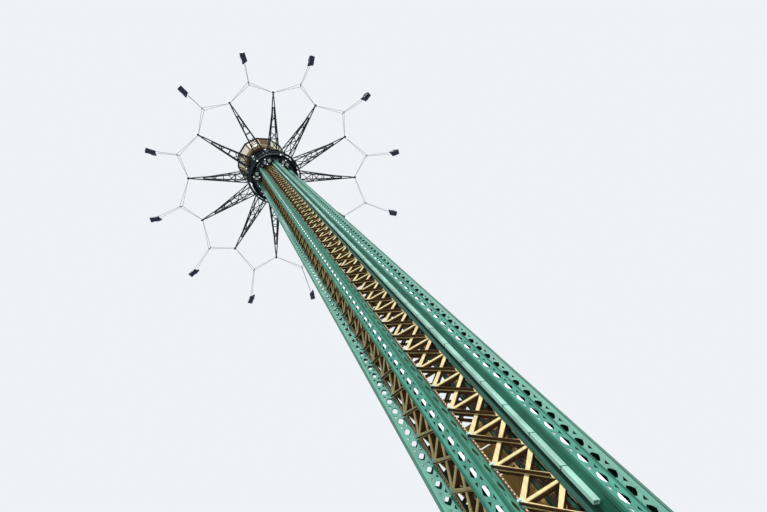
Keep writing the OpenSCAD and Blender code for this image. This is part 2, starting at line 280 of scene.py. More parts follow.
# %% The paints of this ride
patina = paint("patina_green", (0.10, 0.365, 0.265), rough=0.5)
patina_deep = paint("deep_green", (0.022, 0.17, 0.105), rough=0.5)
mint = paint("rail_mint", (0.44, 0.76, 0.64), rough=0.38, streak=0.15)
strip_green = paint("strip_green", (0.026, 0.105, 0.075), rough=0.8)
cream = paint("lattice_cream", (0.84, 0.68, 0.30), rough=0.5, spread=0.14)
cream_plain = paint("rib_cream", (0.62, 0.52, 0.36), rough=0.55, spread=0.3)
ivory = paint("ivory_frames", (0.86, 0.76, 0.48), rough=0.4, spread=0.1)
brown = paint("shaded_brown", (0.115, 0.050, 0.016), rough=0.85)
# Painted shade: near black for the shaded inside of the columns.
shade_black = paint("painted_shade_in_columns", (0.006, 0.012, 0.010), rough=0.7)
# Painted sunlight: amber for the sunlit patches seen inside the columns and the far face.
amber = paint("painted_sunlight_amber", (0.80, 0.46, 0.13), rough=0.6, spread=0.3)
dark_steel = paint("dark_steel", (0.009, 0.023, 0.028), rough=0.55, spread=0.4, streak=0.1)
drum_cream = paint("drum_cream", (0.90, 0.84, 0.66), rough=0.42, spread=0.12)
gilt = paint("gilt", (0.62, 0.40, 0.11), rough=0.33, metal=0.55, spread=0.25)
wire = paint("wire_rope", (0.20, 0.21, 0.22), metal=0.3, rough=0.5, streak=0, bump=0.3, grain=2500)
black_rubber = paint("roller_tread", (0.02, 0.02, 0.02), rough=0.7, streak=0)
opal = paint("opal_lens", (0.88, 0.88, 0.85), rough=0.25, spread=0.03, streak=0, bump=0)
navy = paint("seat_navy", (0.018, 0.026, 0.055), rough=0.28, spread=0.25, streak=0, bump=0.03)
pale_grey = paint("seat_pad_grey", (0.55, 0.56, 0.56), rough=0.6, spread=0.1, streak=0)
lit_tube = paint("lit_tube", (0.9, 0.9, 0.9), rough=0.3, spread=0.02, streak=0, bump=0)
tube_glow = 0.7
tube_shader = lit_tube.node_tree.nodes["Principled BSDF"]
tube_shader.inputs["Emission Color"].default_value = (1, 1, 1, 1)
tube_shader.inputs["Emission Strength"].default_value = tube_glow
print(len(bpy.data.materials), "materials")

# %% [markdown]
# The lattice bars are cream outside, and the sides that face the inside of the shaft get painted
# shade: a dark brown for the shade they lie in. The normal of such a side points towards the
# tower's axis, so its product with the place is negative. A second material on picked faces would
# do as well, but this way the mesh is left alone.

# %% Painted shade on the inner sides of the lattice
inner_limit, inner_shade_brown = -0.4, (0.07, 0.04, 0.018, 1)
nodes, links = cream.node_tree.nodes, cream.node_tree.links
shader = nodes["Principled BSDF"]
outer_colour = shader.inputs["Base Color"].links[0].from_socket
place = nodes.new("ShaderNodeTexCoord")
flat = nodes.new("ShaderNodeVectorMath")
flat.operation = "MULTIPLY"
flat.inputs[1].default_value = (1, 1, 0)
outwards = nodes.new("ShaderNodeVectorMath")
outwards.operation = "NORMALIZE"
facing = nodes.new("ShaderNodeVectorMath")
facing.operation = "DOT_PRODUCT"
inner_share = nodes.new("ShaderNodeMath")
inner_share.operation = "LESS_THAN"
inner_share.inputs[1].default_value = inner_limit
sides = nodes.new("ShaderNodeMix")
sides.data_type = "RGBA"
sides.inputs[7].default_value = inner_shade_brown
for a, b in ((place.outputs["Object"], flat.inputs[0]),
             (flat.outputs["Vector"], outwards.inputs[0]),
             (outwards.outputs["Vector"], facing.inputs[0]),
             (place.outputs["Normal"], facing.inputs[1]),
             (facing.outputs["Value"], inner_share.inputs[0]),
             (inner_share.outputs["Value"], sides.inputs[0]),
             (outer_colour, sides.inputs[6]),
             (sides.outputs[2], shader.inputs["Base Color"])):
    links.new(a, b)
print("lattice paint has", len(nodes), "nodes")

# %% [markdown]
# A finished piece needs its paint and the body that carries it when the ride moves. The tower has
# six sides, so most of its steelwork is one model that is copied to each side. The columns stand at
# 0, 60, 120 degrees and so on, the faces halfway between.

# %% Helpers that finish a piece
def finish_with(piece, material, body):
    """Gives a finished piece its paint and the body it rides on."""
    piece.data.materials.clear()
    piece.data.materials.append(material)
    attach(piece, body)
    print(piece.name, len(piece.data.polygons), "faces")


def on_six_sides(first, slot, *kinds):
    """Puts each kind (model, name, paint) on the six sides and clears its model away."""
    for i in range(6):
        angle = first + 60 * i
        for model, name, material in kinds:
            twin = copy_of(model, f"{name}_{angle}", math.radians(angle))
            finish_with(twin, material, "root")
    clear_away(*[model for model, name, material in kinds])


# %% [markdown]
# Many solids are good enough as they come from CAD and only need their paint. The rest are painted
# too, although a finer piece takes their place further down.

# %% Paint on the solids
# The head cove gets the brown that stands for shade: painted shade on the cornice steps under the
# platform.
node_paint = {"base_frame": patina_deep, "light_tubes": lit_tube, "hoist_ropes": wire,
              "guide_rails": mint, "head_platform": patina, "head_house": drum_cream,
              "head_roof": gilt, "mast": dark_steel, "head_cove": brown,
              "carriage_frame": dark_steel, "guide_rollers": black_rubber,
              "slewing_ring": dark_steel, "hub_frame": dark_steel, "arms": dark_steel,
              "tip_lamps": opal}
kind_paint = {"column": patina, "lattice": cream, "ropes": wire, "seat": navy}
for name, solid in frame["nodes"].items():
    finish = node_paint.get(name) or kind_paint[name.split("_")[0]]
    for material_slot in solid.material_slots:
        material_slot.material = finish
print(len(frame["nodes"]), "solids painted")

# %% [markdown]
# ## Camera
# The picture was taken close to the tower and looks steeply up, so the tower's upright edges run
# together at one point of it. That point and the focal length, both in pixels, turn the camera. Its
# place comes from how large the ring of arm tips looks.

# %% Camera from the point where the uprights meet
picture = Vector((767, 512))
focal_px = 580.4
zenith_px = Vector((210.8, 98.3))
sensor = 36.0
stand = Vector((-0.2245, -1.2114, 0.16))
tower_turn = math.radians(54)
tower_heading = math.radians(79.5)
upwards = Vector((0, 0, 1))

up_seen = zenith_px - picture / 2
up_seen = Vector((up_seen.x, up_seen.y, focal_px)).normalized()
level = (Vector((1, 0, 0)) - up_seen * up_seen.x).normalized()
ahead_seen = math.cos(tower_turn) * level + math.sin(tower_turn) * up_seen.cross(level)
right_seen = ahead_seen.cross(up_seen)
ahead = Vector((math.cos(tower_heading), math.sin(tower_heading), 0))
right = ahead.cross(upwards)
axes = [ahead_seen[i] * ahead + right_seen[i] * right + up_seen[i] * upwards for i in range(3)]
turn = Matrix((axes[0], -axes[1], -axes[2])).transposed()

lens = bpy.data.cameras.new("camera")
lens.sensor_width = sensor
lens.lens = focal_px * sensor / picture.x
lens.clip_end = 100
camera = bpy.data.objects.new("camera", lens)
bpy.context.scene.collection.objects.link(camera)
camera.matrix_world = Matrix.Translation(stand) @ turn.to_4x4()
bpy.context.scene.camera = camera
print("lens", round(lens.lens, 2), "mm")

# %% [markdown]
# ## Laced columns
# Each column is a box of four corner angles with a laced plate on each open side: large pointed
# diamonds in a row, and a pair of small triangles between one diamond and the next. One length of
# plate, with one diamond, is cut out with a boolean. The cut ends are removed, so an array can
# weld the lengths into one plate. The side that carries a guide rail is plain.

# %% Sizes of the laced plates
plate_t = 1.6 * MM
angle_w = 7.5 * MM
overlap = 2 * MM
lacing_half = 11.5 * MM
diamond_half = Vector((11.2 * MM, 20.5 * MM))
waist = 0.6
small_base, small_in = 22 * MM, 7 * MM
diamond_drop = 13 * MM
first_diamond = first_joint + pitch - diamond_drop
low_end = -23 * MM
lengths = 2 * bays - 1
rivet_r, rivet_h, rivet_gap = 1.5 * MM, 1.0 * MM, 3.5 * MM
print(lengths, "lengths of", round(pitch / MM, 1), "mm, each with one diamond")


# %% Cutters for the diamonds and triangles
def prism(corners):
    """A cutter that lies along X, with corners at a distance of 1 that are then put in place."""
    bpy.ops.object.select_all(action="DESELECT")
    bpy.ops.mesh.primitive_cylinder_add(vertices=corners, radius=1, depth=20 * MM,
                                        rotation=(0, math.pi / 2, 0))
    tool = bpy.context.object
    apply_place(tool)
    return tool


def diamond_cutter():
    """A prism whose eight-cornered outline has four sharp tips and sides drawn in between them."""
    tool = prism(8)
    for v in tool.data.vertices:
        tip = abs(v.co.y) < 0.1 or abs(v.co.z) < 0.1
        for axis, half in ((1, diamond_half.x), (2, diamond_half.y)):
            at = v.co[axis]
            v.co[axis] = round(at) * half if tip else math.copysign(waist * half, at)
    return tool


def triangle_cutter(side, half_width):
    """A prism with its base on the corner angle and its point towards the middle of the plate."""
    tool = prism(3)
    points = {0: (side * (half_width - small_in), pitch / 2),
              1: (side * half_width, pitch / 2 - small_base / 2),
              2: (side * half_width, pitch / 2 + small_base / 2)}
    ring = sorted({(round(v.co.y, 4), round(v.co.z, 4)) for v in tool.data.vertices})
    for v in tool.data.vertices:
        v.co.y, v.co.z = points[ring.index((round(v.co.y, 4), round(v.co.z, 4)))]
    edit_all(tool)
    bpy.ops.mesh.normals_make_consistent(inside=False)
    done_editing()
    return tool


# %% Whole laced plates
def rivet_head(y, z):
    """A low six-sided cone on the outside of the plate."""
    bpy.ops.object.select_all(action="DESELECT")
    bpy.ops.mesh.primitive_cone_add(vertices=6, radius1=rivet_r, radius2=0.6 * rivet_r,
                                    depth=rivet_h, end_fill_type="NGON",
                                    rotation=(0, math.pi / 2, 0),
                                    location=(plate_t + 0.4 * rivet_h, y, z))
    apply_place(bpy.context.object)
    return bpy.context.object


def laced_plate(name, width):
    """A laced plate in the plane x = 0 to plate_t, as wide as the column side between angles."""
    half = width / 2 + overlap
    high_end = low_end + pitch
    plate = block(name, (0, -half, low_end), (plate_t, half, high_end))
    triangles = [triangle_cutter(side, lacing_half) for side in (1, -1)]
    cut(plate, [diamond_cutter()] + triangles)
    edit_faces(plate, lambda centre, normal: abs(normal.z) > 0.9
               and (centre.z < low_end + 1e-5 or centre.z > high_end - 1e-5))
    bpy.ops.mesh.delete(type="FACE")
    done_editing()
    rivet_y = lacing_half + rivet_gap
    rivets = [rivet_head(0, pitch / 2), rivet_head(rivet_y, 0), rivet_head(-rivet_y, 0)]
    plate = repeated(joined(name, [plate] + rivets), lengths, (0, 0, pitch))
    moved(plate, (0, 0, first_diamond))
    bottom, top = first_diamond + low_end, first_diamond + low_end + lengths * pitch
    ends = [block("end", (0, -half, foot_z), (plate_t, half, bottom)),
            block("end", (0, -half, top), (plate_t, half, head_z))]
    return joined(name, [plate] + ends)


outer_plate = laced_plate("outer_plate", 2 * (column_half - angle_w))
side_plate = laced_plate("side_plate", column_out - column_in - 2 * angle_w)
print("outer plate", len(outer_plate.data.polygons), "side plate", len(side_plate.data.polygons))

# %% [markdown]
# The corner angles run the whole height. An L could be drawn and extruded, but two blocks that meet
# at the heel give the same bar with fewer steps, and a bevel takes the sharpness off their edges. A
# narrow bead along each leg stands for the pressed edge that shows as a fine bright line.

# %% Corner angles
angle_t, bead_r, bead_proud = 2.2 * MM, 0.6 * MM, 0.1 * MM
edge_bevel = 0.5 * MM


def corner_angle(name, x, y, inward_x, inward_y):
    """An angle bar from the foot to the head, with its heel at (x, y)."""
    def leg(end_x, start_y, end_y):
        xs = sorted((x, x + inward_x * end_x))
        ys = sorted((y + inward_y * start_y, y + inward_y * end_y))
        bar = block(name, (xs[0], ys[0], foot_z), (xs[1], ys[1], head_z))
        apply_modifier(bar, "BEVEL", width=edge_bevel, segments=1)
        return bar

    bead_at = angle_w - 2 * bead_r
    places = ((x - inward_x * bead_proud, y + inward_y * bead_at),
              (x + inward_x * bead_at, y - inward_y * bead_proud))
    bars = [leg(angle_w, 0, angle_t), leg(angle_t, angle_t, angle_w)]
    bars += [rod(name, (*at, foot_z), (*at, head_z), bead_r, 8) for at in places]
    return joined(name, bars)


angles = joined("angles", [corner_angle("angle", x, y, x_way, y_way)
                           for x, x_way in ((column_out, -1), (column_in, 1))
                           for y, y_way in ((column_half, -1), (-column_half, 1))])
print("corner angles", len(angles.data.polygons), "faces")

# %% Plates of one column
plate_sunk, side_sunk = 0.4 * MM, 0.8 * MM
web_y = -column_half + side_sunk


def on_side(name, way):
    """Copies the side plate, which faces +X, to the column side that faces +Y or -Y."""
    place = ((column_in + column_out) / 2, way * (column_half - plate_t - side_sunk), 0)
    return moved(copy_of(side_plate, name, math.radians(90 * way)), place)


def column_plates(name, with_rail):
    """The laced plates of one column, with none on the side where a rail stands."""
    outer = moved(copy_of(outer_plate, "outer"), (column_out - plate_t - plate_sunk, 0, 0))
    parts = [outer, on_side("side", 1)]
    if not with_rail:
        parts.append(on_side("side", -1))
    return joined(name, parts)


web = block("web", (column_in + 1 * MM, web_y, foot_z),
            (column_out - 1 * MM, web_y + plate_t, head_z))
plain_column = column_plates("laced_column", False)
rail_column = column_plates("rail_column", True)
print("plain column", len(plain_column.data.polygons), "faces")

# %% Six columns in place
for i in range(6):
    model = rail_column if i in rail_columns else plain_column
    column = copy_of(model, f"laced_column_{i * 60}", i * corner_turn)
    finish_with(column, patina, "root")
    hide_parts(f"column_{i * 60}")
    bars = copy_of(angles, f"column_angles_{i * 60}", i * corner_turn)
    finish_with(bars, patina_deep, "root")
    if i in rail_columns:
        plain_side = copy_of(web, f"plain_side_{i * 60}", i * corner_turn)
        finish_with(plain_side, patina_deep, "root")
clear_away(plain_column, rail_column, side_plate, angles, web)

# %% [markdown]
# Seen through the diamonds, the inside of a column is black behind its white light tube, so a dark
# plate stands just behind the tube as painted shade. The inner side is laced too and lies in shade,
# and it is painted brown for that shade. An amber plate behind it shows through its diamonds as
# painted sunlight.

# %% Painted shade: dark plates behind the light tubes
tube_room, wall_gap = 13 * MM, 3 * MM
shade_sheet_x, sheet_half_y = column_out - tube_room, column_half - wall_gap
shade_sheet = block("shade_sheet", (shade_sheet_x - plate_t, -sheet_half_y, foot_z), (shade_sheet_x, sheet_half_y, head_z))
on_six_sides(0, "patina_paint", (shade_sheet, "shade_sheet", shade_black))

# %% Inner side of the columns: painted shade, with painted sunlight behind it
inner = moved(copy_of(outer_plate, "inner", math.radians(180)),
              (column_in + plate_sunk + plate_t, 0, 0))
sunlit_sheet_x = column_in + 5 * MM
sunlit_sheet = block("sunlit_sheet", (sunlit_sheet_x, -sheet_half_y, foot_z), (sunlit_sheet_x + plate_t, sheet_half_y, head_z))
on_six_sides(0, "gold_paint", (inner, "inner_side", brown), (sunlit_sheet, "painted_sunlight_plate", amber))
clear_away(outer_plate)

# %% [markdown]
# ## Lattice faces
# The flat bars are in the solids already. On the real faces the bars are angles. The falling
# diagonal's second leg stands out from its lower edge, so from below it hides its own flat face and
# reads as a dark line across the bright one. The second legs of the other bars point inwards.

# %% Sizes of the angle bars
face_half = (face_plane * math.tan(half_side)) - column_half / math.cos(half_side)
face_depth = face_plane - 158.5 * MM
leg_t = 1.6 * MM
outward_leg, inward_leg, inward_fall_leg = 11 * MM, 14 * MM, 12 * MM
fall_bar_half = 5.5 * MM
fall = math.atan2(bay, 2 * face_half - 12 * MM)
whole_bar = (4 * MM - face_half, face_half - 4 * MM)
up_to_strip = (whole_bar[0], face_half - 23.5 * MM)
print("bars fall at", round(math.degrees(fall), 1), "degrees over", round(2 * face_half, 4))


# %% Second legs of the angle bars
def bar_leg(name, ends, turn, near, far):
    """A leg along the lower edge of a bar, from one depth to another, at every bay."""
    is_level = turn == 0
    low = -(level_bar_half if is_level else fall_bar_half)
    leg = block(name, (near, ends[0] / math.cos(turn), low),
                (far, ends[1] / math.cos(turn), low + leg_t))
    leg.rotation_euler.x = turn
    apply_place(leg)
    moved(leg, (face_plane, 0, first_joint + (0 if is_level else bay / 2)))
    return repeated(leg, bays + is_level, (0, 0, bay))


outward = bar_leg("outward", up_to_strip, -fall, 0, outward_leg)
inward = joined("inward", [
    bar_leg("rise", whole_bar, fall, -face_depth - inward_leg, -face_depth),
    bar_leg("level", whole_bar, 0, -face_depth - inward_leg, -face_depth),
    bar_leg("fall", whole_bar, -fall, -face_depth - inward_fall_leg, -face_depth)])
# The legs are painted shade: brown for cream steel whose undersides and inner sides lie in the
# shade.
on_six_sides(30, "gold_paint", (outward, "falling_legs", brown), (inward, "inward_legs", brown))

# %% [markdown]
# In the photograph, warm patches show between the bars low down. One amber panel per bay stands
# inside the face opposite the camera, behind the legs of its bars and held between two columns.
# Their amber is painted sunlight, for the sunlit patches. One long sheet would do for the colour,
# but a framed panel in each bay looks right from behind.

# %% Amber panels inside the far face, painted sunlight
panel_bays = 12
panel_x, panel_t = face_plane - face_depth - 17 * MM, 2 * MM
panel_y, panel_gap, panel_rim = face_half - 10 * MM, 4 * MM, 9 * MM
panel = block("panel", (panel_x, -panel_y, first_joint + panel_gap),
              (panel_x + panel_t, panel_y, first_joint + bay - panel_gap))
edit_faces(panel, lambda centre, normal: normal.x > 0.9)
bpy.ops.mesh.inset(thickness=panel_rim, depth=0)
bpy.ops.mesh.inset(thickness=1 * MM, depth=-1 * MM)
done_editing()
panels = repeated(panel, panel_bays, (0, 0, bay))
finish_with(copy_of(panels, "far_panels", math.radians(90)), amber, "root")
clear_away(panels)

# %% [markdown]
# Along its left edge, each face has a dark angle with a row of small cream ribs. A striped texture
# would lie flat in the sun, so each rib is a small block, and an array makes the row from one.

# %% Ribbed edge angles
edge_y, edge_w = -face_half + 0.5 * MM, 6.8 * MM
edge_x, rib_x, rib_out = face_plane + 0.1 * MM, face_plane + 1.2 * MM, face_plane + 2.4 * MM
ribs_per_bay, rib_share = 10, 0.55
rib_step = bay / ribs_per_bay
edge_angle = block("edge_angle", (edge_x, edge_y, first_joint),
                   (rib_x + 0.1 * MM, edge_y + edge_w, head_z))
rib = block("rib", (rib_x, edge_y + 3.6 * MM, first_joint),
            (rib_out, edge_y + edge_w, first_joint + rib_step * rib_share))
ribs = repeated(rib, ribs_per_bay * bays, (0, 0, rib_step))
on_six_sides(30, "gold_paint", (edge_angle, "edge_angle", brown), (ribs, "edge_ribs", cream_plain))

# %% [markdown]
# Gusset plates with rounded lobes tie the bars to the columns. The outline could be drawn as a
# curve, but a block with two short cylinders at its corners gives the same plate.

# %% Gusset plates
gusset_w, gusset_h, gusset_t = 14 * MM, 28 * MM, 1.5 * MM
lobe_r, bolt_r, bolt_h = 6 * MM, 1.3 * MM, 1.1 * MM


def gusset(side):
    """A plate with a rounded lobe above and below, and three bolt heads."""
    edge, far_edge = side * face_half, side * (face_half - gusset_w)
    back, front = face_plane + 0.1 * MM, face_plane + gusset_t
    parts = [block("plate", (back, min(edge, far_edge), -gusset_h / 2 + lobe_r),
                   (front, max(edge, far_edge), gusset_h / 2 - lobe_r))]
    bolts = [(far_edge + side * 3 * MM, 0)]
    for up in (-1, 1):
        y, z = edge - side * lobe_r, up * (gusset_h / 2 - lobe_r * 0.6)
        parts.append(rod("lobe", (back, y, z), (front, y, z), lobe_r, 10))
        bolts.append((y, z))
    parts += [rod("bolt", (front, y, z), (front + bolt_h, y, z), bolt_r, 6) for y, z in bolts]
    return parts


plates = moved(joined("gussets", gusset(1) + gusset(-1)), (0, 0, first_joint))
plates = repeated(plates, bays + 1, (0, 0, bay))
on_six_sides(30, "patina_paint", (plates, "gussets", mint))

# %% [markdown]
# ## Guide rails
# The bright rail is a rectangular tube with an open lower end. The block is inset at its lower face
# and the inner face is pushed up, which leaves the wall. Its lengths meet at a splice in every bay,
# and a flat riveted strip beside it covers the ends of the lattice bars.

# %% Rail tubes
rail_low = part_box("guide_rails")[0].z
rail_x = (186 * MM, 197 * MM)
rail_y = (-column_half - 16.3 * MM, -column_half - 0.3 * MM)
wall, mouth = 1.5 * MM, 120 * MM
tube = block("rail", (rail_x[0], rail_y[0], rail_low), (rail_x[1], rail_y[1], head_z))
edit_faces(tube, lambda centre, normal: normal.z < -0.9)
bpy.ops.mesh.inset(thickness=wall, depth=0)
bpy.ops.mesh.extrude_region_move(TRANSFORM_OT_translate={"value": (0, 0, mouth)})
done_editing()
apply_modifier(tube, "BEVEL", width=0.7 * MM, segments=2, limit_method="ANGLE")
print("rail tube from", round(rail_low, 3), "with", len(tube.data.polygons), "faces")

# %% Splices of the rail
splice_proud, splice_half = 0.35 * MM, 1.1 * MM
bolt_x, bolt_y, bolt_z = rail_x[1] - 3 * MM, rail_y[0], 4 * MM
splice = joined("splices", [
    block("splice", (rail_x[0], rail_y[0] - splice_proud, -splice_half),
          (rail_x[1] + splice_proud, rail_y[1], splice_half)),
    rod("bolt", (bolt_x, bolt_y, bolt_z), (bolt_x, bolt_y - 1.2 * MM, bolt_z), bolt_r, 6)])
first_splice = math.ceil((rail_low - first_joint) / bay)
moved(splice, (0, 0, first_joint + first_splice * bay))
splices = repeated(splice, bays - first_splice + 1, (0, 0, bay))
print("first splice at bay", first_splice)

# %% Riveted strip beside the rail
strip_w, strip_t, lip_h = 22.3 * MM, 1.2 * MM, 4 * MM
strip_x, strip_end = face_plane + gusset_t + 1.4 * MM, face_half + 1 * MM
head_x, head_y, head_r = strip_x + strip_t, face_half - strip_w + 2.5 * MM, 1.0 * MM
rivets_per_bay = 7
rivet_step = bay / rivets_per_bay
flat_strip = block("strip", (strip_x, face_half - strip_w, first_joint),
                   (strip_x + strip_t, strip_end, head_z))
lip = block("lip", (strip_x, face_half - 0.5 * MM, first_joint),
            (strip_x + lip_h, strip_end, head_z))
head = rod("head", (head_x, head_y, 0), (head_x + 0.8 * MM, head_y, 0), head_r, 6)
moved(head, (0, 0, first_joint + rivet_step / 2))
heads = repeated(head, rivets_per_bay * bays, (0, 0, rivet_step))
strip = joined("strip", [flat_strip, lip, heads])
print("cover strip", len(strip.data.polygons), "faces")

# %% Both rails in place
for i in rail_columns:
    rail = copy_of(tube, f"rail_{i * 60}", i * corner_turn)
    finish_with(rail, mint, "root")
    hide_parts("guide_rails")
    joints = copy_of(splices, f"rail_splices_{i * 60}", i * corner_turn)
    finish_with(joints, strip_green, "root")
    cover = copy_of(strip, f"cover_strip_{i * 60}", i * corner_turn - half_side)
    finish_with(cover, strip_green, "root")
clear_away(tube, splices, strip)

# %% [markdown]
# ## Hub
# From below, the hub is a dark twelve-sided frame round the carriage. The solids hold its rings,
# spokes and posts. Here come the cross bars on its sides, a few globe lamps under it, a ring of
# them near its top, and the lamp at the end of each arm. Each is modelled once, on +X.

# %% Where the rotor is
rotor_turn = math.radians(-2.8)
arm_step = math.radians(30)
ring_low, ring_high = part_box("hub_frame")[0].z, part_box("hub_frame")[1].z
hub_side = 332 * MM
hub_corner = hub_side / math.cos(arm_step / 2)
swing_joints = [j for j in frame["joints"] if j["name"].startswith("swing_")]
print("hub from", round(ring_low, 3), "to", round(ring_high, 3), "for", len(swing_joints), "seats")


def around(piece, name, count, first=0.0):
    """Copies of a piece in a ring about the tower's axis, joined into one."""
    twins = [copy_of(piece, name, first + i * math.tau / count) for i in range(count)]
    clear_away(piece)
    return joined(name, twins)


# %% Cross bars on the sides of the hub
bar_r, bar_x, bar_gap = 3 * MM, hub_side - 7 * MM, 14 * MM
reach = bar_x * math.tan(arm_step / 2) - 8 * MM
middle, plate_y, plate_z = (ring_low + ring_high) / 2, 14 * MM, 18 * MM
crossed = [rod("bar", (bar_x, -way * reach, ring_low + bar_gap),
               (bar_x, way * reach, ring_high - bar_gap), bar_r, 6) for way in (-1, 1)]
crossed.append(block("plate", (bar_x - bar_r, -plate_y, middle - plate_z),
                     (bar_x + bar_r, plate_y, middle + plate_z)))
cross_bars = around(joined("web", crossed), "hub_cross_bars", 12, rotor_turn)
finish_with(cross_bars, dark_steel, "rotor")


# %% Globe lamps
def globe(name, x, z, radius):
    """A collar with a round cap below it: a sphere cut off a little above its middle."""
    bpy.ops.object.select_all(action="DESELECT")
    bpy.ops.mesh.primitive_uv_sphere_add(segments=12, ring_count=8, radius=radius,
                                         location=(x, 0, z))
    cap = bpy.context.object
    apply_place(cap)
    edit_all(cap)
    bpy.ops.mesh.bisect(plane_co=(x, 0, z + radius / 3), plane_no=(0, 0, 1), clear_outer=True,
                        use_fill=True)
    done_editing()
    collar = rod("collar", (x, 0, z + radius / 4), (x, 0, z + radius * 0.7), radius * 1.1, 12)
    return joined(name, [cap, collar])


corner_first = rotor_turn + arm_step / 2
low_lamp = globe("lamp", hub_side - 24 * MM, ring_low - 5 * MM, 9 * MM)
low_lamps = around(low_lamp, "hub_lamps_low", 6, corner_first)
high_lamp = globe("lamp", hub_corner + 9 * MM, ring_high - 60 * MM, 8 * MM)
high_lamps = around(high_lamp, "hub_lamps_high", 12, corner_first)
for lamps in (low_lamps, high_lamps):
    finish_with(lamps, lit_tube, "rotor")
tip_x, tip_high = 1.094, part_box("tip_lamps")[1].z
tip_lamp = globe("lamp", tip_x, tip_high - 6 * MM, 9 * MM)
tip_caps = around(tip_lamp, "tip_lamp_caps", 12, rotor_turn)
finish_with(tip_caps, lit_tube, "rotor")
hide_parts("tip_lamps")

# %% [markdown]
# The lower frame of each arm is open in its outer bays, and its two chords meet only near the tip.
# A copy of the solid arms is merged, and two blocks an arm cut its third bay and the inner end of
# its boom open. A new arm would be the other way, but the cut keeps every size of the solid.

# %% Openings of the arms
bay_from, bay_to, half_from, half_to = 647.7 * MM, 776.7 * MM, 24.8 * MM, 11.6 * MM
gap_from, gap_to, gap_half = 892 * MM, 1010 * MM, 14 * MM
cut_low, bay_cut_high, gap_cut_high = ring_low - 15 * MM, ring_low + 15 * MM, ring_low + 30 * MM
opening = block("opening", (bay_from, -1, cut_low), (bay_to, 1, bay_cut_high))
for v in opening.data.vertices:
    v.co.y *= half_from + (half_to - half_from) * (v.co.x - bay_from) / (bay_to - bay_from)
boom_gap = block("boom_gap", (gap_from, -gap_half, cut_low), (gap_to, gap_half, gap_cut_high))
openings = around(joined("openings", [opening, boom_gap]), "openings", 12, rotor_turn)
only(frame["nodes"]["arms"])
bpy.ops.object.duplicate(linked=False)
open_arms = bpy.context.object
open_arms.name = "braced_arms"
edit_all(open_arms)
bpy.ops.mesh.remove_doubles(threshold=1e-6)
done_editing()
cut(open_arms, [openings])
finish_with(open_arms, dark_steel, "rotor")
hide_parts("arms")

# %% [markdown]
# Each arm has two level chords that close in on each other, two upper ones that come down to them,
# and crosses between the level ones. They are round tubes, laid over the bars of the solid: a round
# tube has a soft edge of light along it that a square bar can't show.

# %% Chord tubes and crosses of the arms
root_x, boom_x, chord_end = 336 * MM, 886 * MM, 1018 * MM
root_half, boom_half, closing = 60 * MM, 12 * MM, 54 * MM
chord_z, upper_root_z, upper_end_z = ring_low + 7.5 * MM, ring_low + 319 * MM, ring_low + 9 * MM
chord_r, upper_r, cross_r = 7 * MM, 6.5 * MM, 5 * MM
crosses = ((494 * MM, 586 * MM), (706 * MM, 786 * MM))


def chord_y(x):
    """Half the distance between the level chords of an arm."""
    return root_half - (x - root_x) * closing / (chord_end - root_x)


tubes = []
for way in (-1, 1):
    tubes.append(rod("chord", (root_x, way * chord_y(root_x), chord_z),
                     (chord_end, way * chord_y(chord_end), chord_z), chord_r, 8))
    tubes.append(rod("chord", (root_x, way * root_half, upper_root_z),
                     (boom_x, way * boom_half, upper_end_z), upper_r, 8))
    for near, far in crosses:
        tubes.append(rod("cross", (near, way * chord_y(near), chord_z),
                         (far, -way * chord_y(far), chord_z), cross_r, 6))
chords = around(joined("chords", tubes), "arm_chords", 12, rotor_turn)
finish_with(chords, dark_steel, "rotor")

# %% [markdown]
# Between the hub and the shaft, the carriage fills the gap with decks, gear cases and small lamps.
# Much of it is hidden in the dark, so it is kept to a few plain forms: three decks one above the
# other, two rounded cases with drives under them, and two lamps, on each of the six sides.

# %% Decks of the carriage
deck_in, deck_out, deck_t, deck_step = 181 * MM, 280 * MM, 4 * MM, 90 * MM
deck_margin, deck_flare_to = 26 * MM, 60 * MM
deck_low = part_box("carriage_frame")[0].z + 6 * MM
storeys = []
for storey in range(3):
    low = deck_low + storey * deck_step
    deck = block("deck", (deck_in, -1, low), (deck_out, 1, low + deck_t))
    for v in deck.data.vertices:
        v.co.y *= (face_half + min(v.co.x - face_plane, deck_flare_to) * math.tan(half_side)
                   - deck_margin)
    storeys.append(deck)
decks = around(joined("decks", storeys), "carriage_decks", 6, half_side)
finish_with(decks, dark_steel, "carriage")

# %% Gear cases and lamps of the carriage
case_x, drive_x, drive_r = (deck_in + 26 * MM, deck_in + 66 * MM), deck_in + 46 * MM, 11 * MM
works = []
for y, wide, tall in ((-34 * MM, 32 * MM, 60 * MM), (22 * MM, 40 * MM, 44 * MM)):
    case_low, drive_low = deck_low - tall * 0.4, deck_low - tall * 0.7
    case = block("case", (case_x[0], y, case_low), (case_x[1], y + wide, deck_low))
    apply_modifier(case, "BEVEL", width=4 * MM, segments=2)
    drive_y = y + wide / 2
    drive = rod("drive", (drive_x, drive_y, drive_low), (drive_x, drive_y, case_low), drive_r, 16)
    works += [case, drive]
machinery = around(joined("works", works), "carriage_machinery", 6, half_side)
finish_with(machinery, pale_grey, "carriage")
pair = [globe("lamp", deck_in + out, deck_low - 4 * MM, 7 * MM) for out in (14 * MM, 84 * MM)]
deck_lamps = around(joined("lamps", pair), "deck_lamps", 6, half_side)
finish_with(deck_lamps, lit_tube, "carriage")

# %% [markdown]
# ## Head
# The tower ends in a twelve-sided cove that flares out to a platform with a dark rim. Each side of
# the cove holds a framed panel: three of them brown as painted shade, the rest cream. Cream beads
# edge the steps of the cornice below, whose brown is painted shade too. A frame is one plate whose
# front face is inset twice, the second time sunk.

